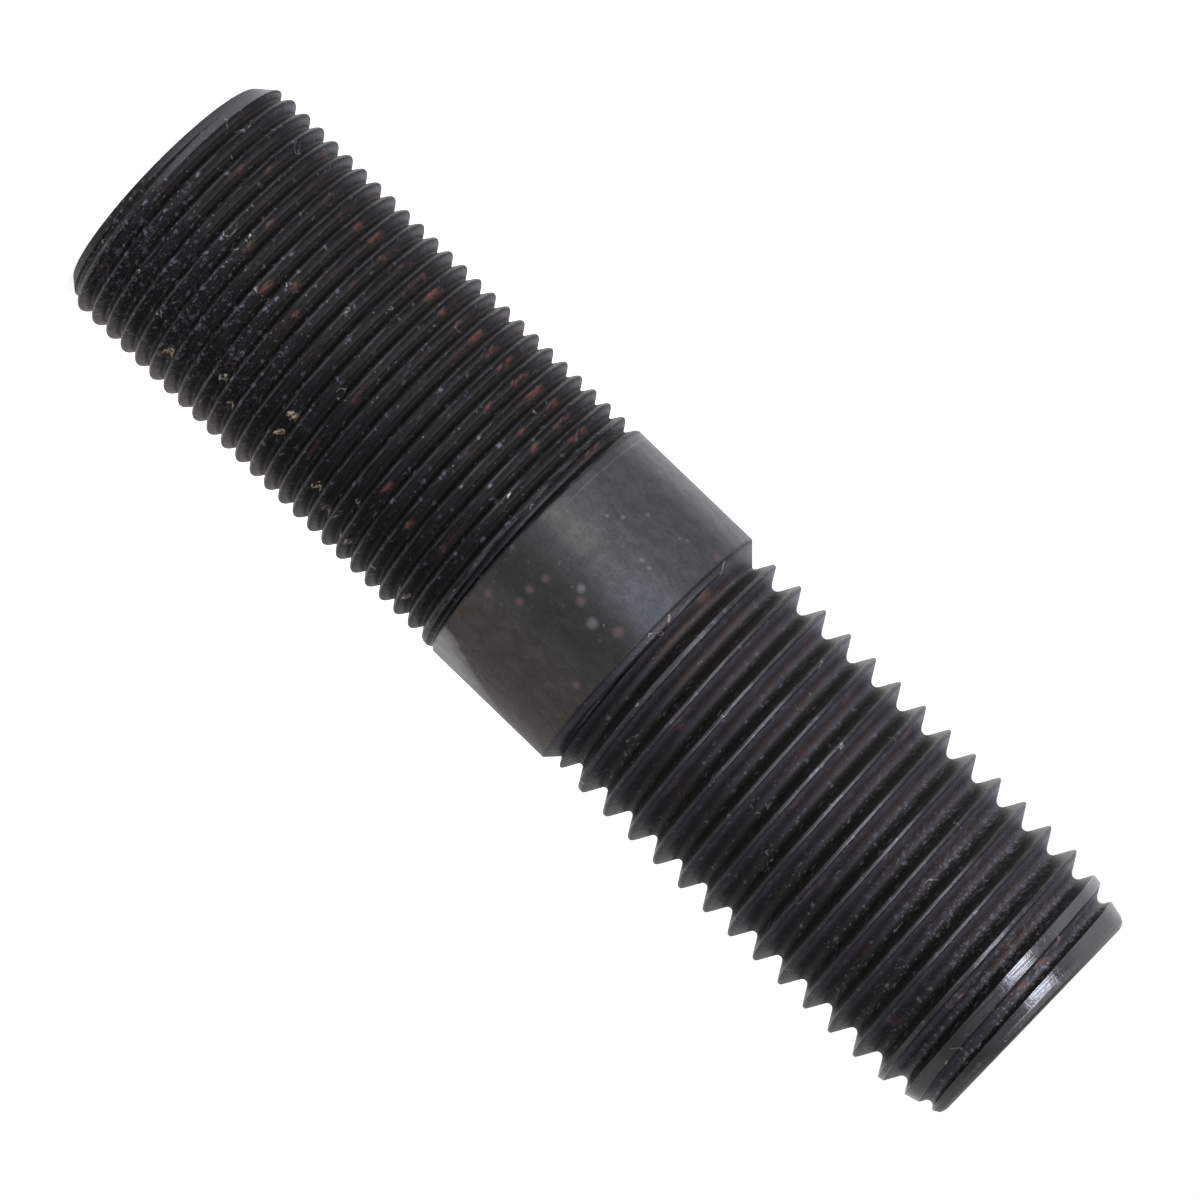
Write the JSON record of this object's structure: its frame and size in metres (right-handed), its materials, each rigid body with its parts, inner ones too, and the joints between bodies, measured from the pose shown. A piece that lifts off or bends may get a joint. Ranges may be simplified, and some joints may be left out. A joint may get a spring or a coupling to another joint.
{
  "type": "double ended stud",
  "caption": "Straight steel stud with a fine thread at one end, a coarse thread with a long lead taper at the other, and a short plain shank between them.",
  "frame": {"origin": "centre of the end face of the fine thread, on which the stud stands", "axes": "+Z along the stud's axis, from the fine thread up to the coarse thread; +X through the point where the first crest of the fine thread is 0.48 mm above the lower face"},
  "size_m": [0.0318, 0.0318, 0.127],
  "materials": {
    "steel": "oiled black oxide, with small spots of rust and bright brushed wear on the lead taper"
  },
  "bodies": {
    "root": {"stud": "steel"}
  },
  "joints": []
}
